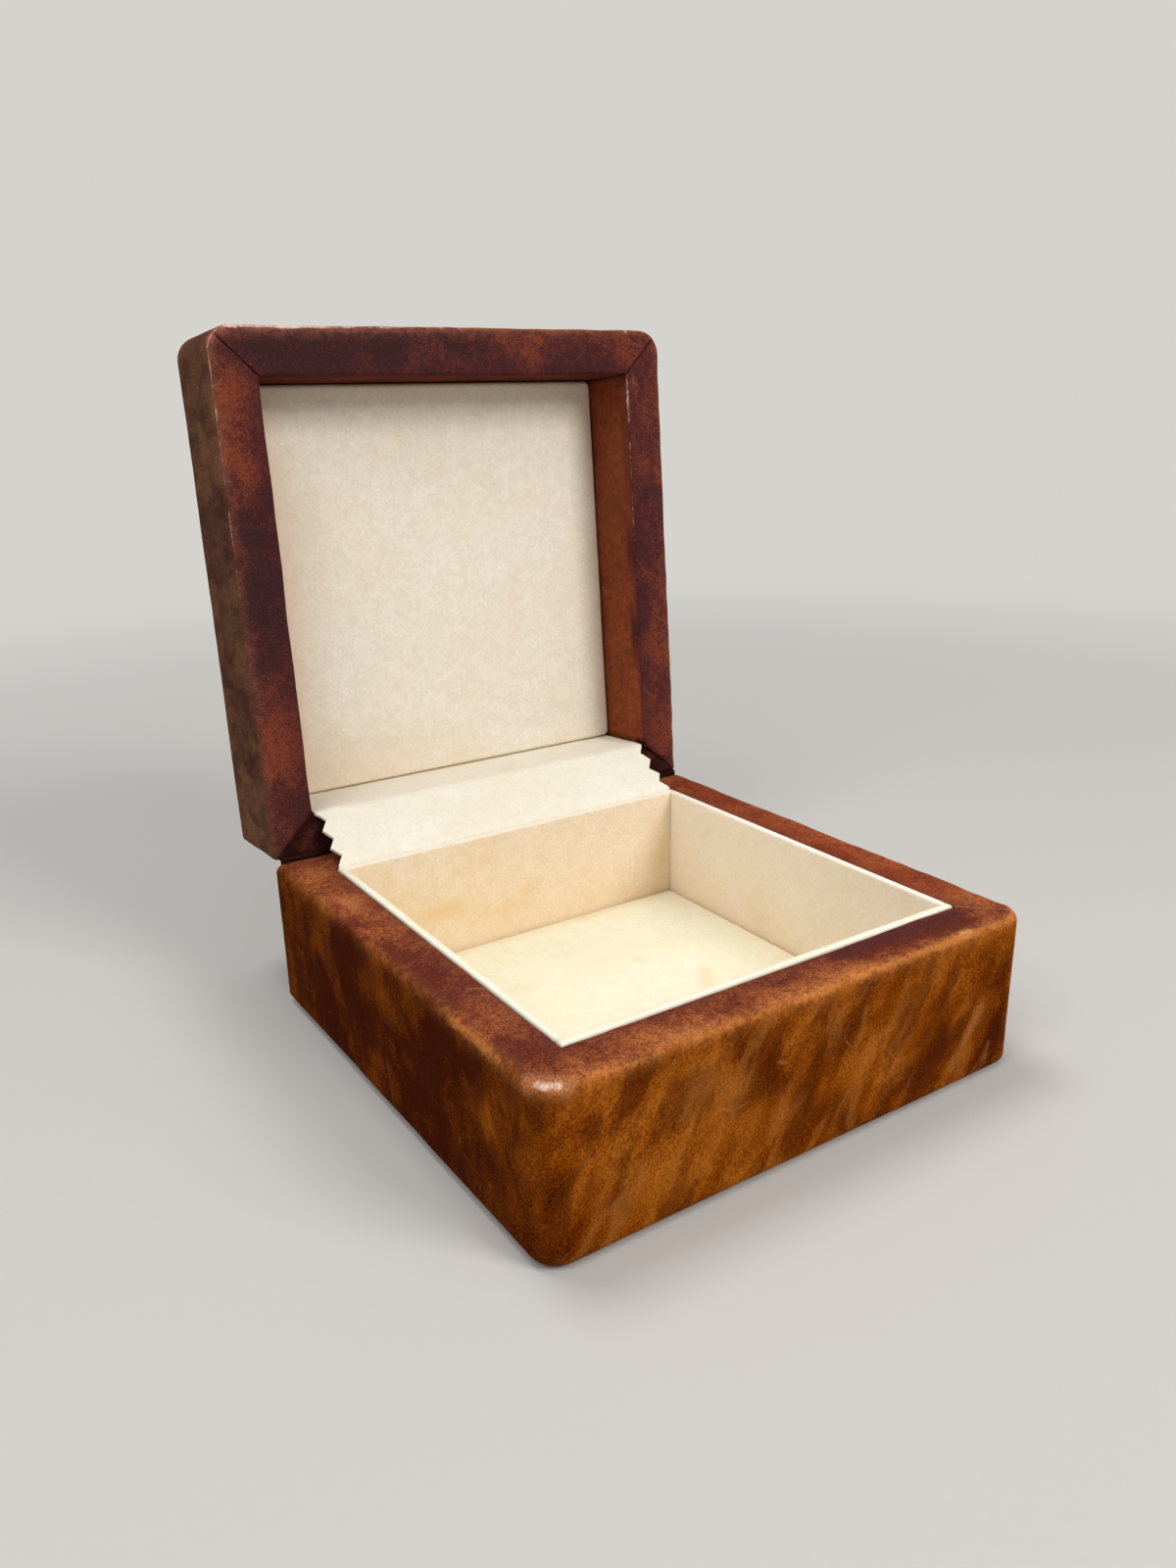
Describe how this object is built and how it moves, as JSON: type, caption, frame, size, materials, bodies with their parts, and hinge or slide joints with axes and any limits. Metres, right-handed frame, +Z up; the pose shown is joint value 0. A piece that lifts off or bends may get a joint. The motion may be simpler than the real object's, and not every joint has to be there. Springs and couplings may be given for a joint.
{
  "type": "trinket box",
  "caption": "Square leather-wrapped wooden trinket box with a suede-lined well and a hinged, padded lid that stands open past upright.",
  "frame": {"origin": "middle of the underside of the base, on the surface that the box stands on", "axes": "+X left to right along the hinge line, +Y from front to rear, +Z up; the lid stands open at the rear"},
  "size_m": [0.127, 0.1644, 0.1648],
  "materials": {
    "mottled_leather": "polished, mottled tan to mahogany, worn on the edges",
    "hinge_leather": "satin dark brown",
    "lining_suede": "cream suede with a short nap",
    "strip_suede": "pale cream suede with pinked ends",
    "wood": "planed, unfinished",
    "plywood": "sanded, unfinished",
    "card": "grey board, matt",
    "padding": "cotton wadding",
    "underside_cover": "brown felt"
  },
  "bodies": {
    "base": {"base_front_wall": "wood", "base_rear_wall": "wood", "base_left_wall": "wood", "base_right_wall": "wood", "base_bottom_board": "plywood", "base_leather": "mottled_leather", "base_levelling_card": "card", "base_underside_cover": "underside_cover", "well_front_card": "card", "well_front_suede": "lining_suede", "well_right_card": "card", "well_right_suede": "lining_suede", "well_rear_card": "card", "well_rear_suede": "lining_suede", "well_left_card": "card", "well_left_suede": "lining_suede", "well_floor_card": "card", "well_floor_padding": "padding", "well_floor_suede": "lining_suede", "hinge_suede_strip": "strip_suede", "hinge_leather": "hinge_leather"},
    "lid": {"lid_front_rail": "wood", "lid_rear_rail": "wood", "lid_left_rail": "wood", "lid_right_rail": "wood", "lid_top_board": "plywood", "lid_leather": "mottled_leather", "lid_panel_card": "card", "lid_panel_padding": "padding", "lid_panel_suede": "lining_suede"}
  },
  "joints": [
    {"name": "lid_hinge", "type": "hinge", "parent": "base", "child": "lid", "pos_m": [0, 0.0635, 0.0383], "axis": [1, 0, 0], "range_deg": [0, 94.3], "deforming": ["hinge_suede_strip", "hinge_leather"]}
  ]
}
